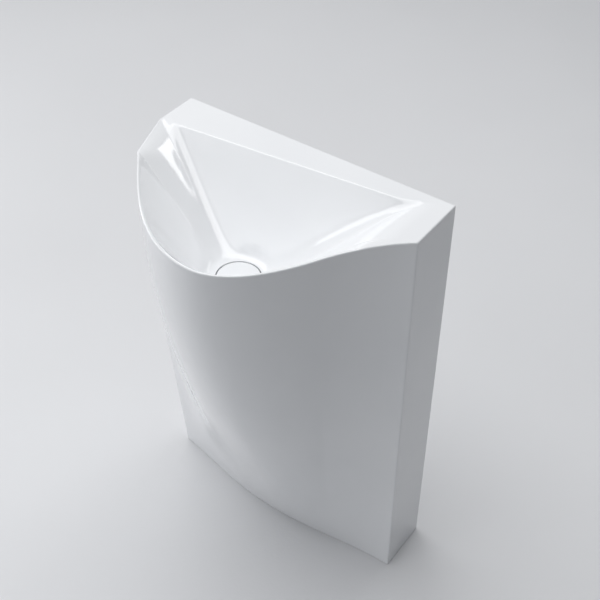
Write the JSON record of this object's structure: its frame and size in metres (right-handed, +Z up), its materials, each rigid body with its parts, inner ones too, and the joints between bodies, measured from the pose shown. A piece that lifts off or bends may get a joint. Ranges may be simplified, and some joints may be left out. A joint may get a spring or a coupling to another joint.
{
  "type": "pedestal sink",
  "caption": "Floor-standing pedestal sink in one flowing shell with a V-shaped bowl, flat ledge at the wall, pop-up waste and bottle trap.",
  "frame": {"origin": "on the floor, at the centre of the box round the whole sink", "axes": "+Z up, +Y towards the wall behind the sink, +X to the right as one stands in front of it"},
  "size_m": [0.55, 0.374, 0.85],
  "materials": {
    "glossy_white": "glossy white gel coat over cast mineral",
    "cover_white": "glossy white gel coat over cast mineral",
    "steel": "brushed",
    "chrome": "polished",
    "brass": "machined",
    "white_plastic": "moulded",
    "grey_plastic": "moulded",
    "rubber": "matt",
    "galvanised_steel": "zinc plated"
  },
  "bodies": {
    "basin": {"basin_pedestal": "glossy_white", "cartridge_spring": "steel", "cartridge_housing": "white_plastic", "waste_body": "steel", "flange_gasket": "rubber", "under_gasket": "rubber", "friction_washer": "white_plastic", "waste_locknut": "brass", "tailpiece_washer": "rubber", "tailpiece": "chrome", "trap_inlet_nut": "chrome", "trap_inlet_washer": "rubber", "trap_body": "chrome", "trap_dip_tube": "grey_plastic", "trap_outlet_nut": "chrome", "trap_outlet_washer": "rubber", "outlet_pipe": "chrome", "wall_rosette": "chrome", "bracket_left": "galvanised_steel", "bracket_right": "galvanised_steel", "bracket_inserts": "brass", "bracket_screws": "steel"},
    "drain_plug": {"drain_cover": "cover_white", "cover_cap": "steel", "cover_seal": "rubber", "cover_stem": "brass", "cartridge_plunger": "white_plastic"},
    "click_cam": {"cartridge_cam": "grey_plastic"},
    "cup_seal": {"trap_cup_seal": "rubber"},
    "cup": {"trap_cup": "chrome"}
  },
  "joints": [
    {"name": "cover_lift", "type": "slide", "parent": "basin", "child": "drain_plug", "axis": [0, 0, 1], "range_m": [0, 0.009], "deforming": ["cartridge_spring"]},
    {"name": "cam_turn", "type": "hinge", "parent": "drain_plug", "child": "click_cam", "pos_m": [0.006, -0.042, 0.68], "axis": [0, 0, 1], "range_deg": [0, 45]},
    {"name": "cup_drop", "type": "slide", "parent": "basin", "child": "cup_seal", "axis": [0, 0, -1], "range_m": [0, 0.008]},
    {"name": "cup_unscrew", "type": "hinge", "parent": "cup_seal", "child": "cup", "pos_m": [0.006, -0.042, 0.45], "axis": [0, 0, -1], "range_deg": [0, 720]}
  ],
  "couplings": [
    {"joint": "cam_turn", "follows": "cover_lift", "rad_per_m": 87.2},
    {"joint": "cup_drop", "follows": "cup_unscrew", "m_per_rad": 0.000636}
  ]
}
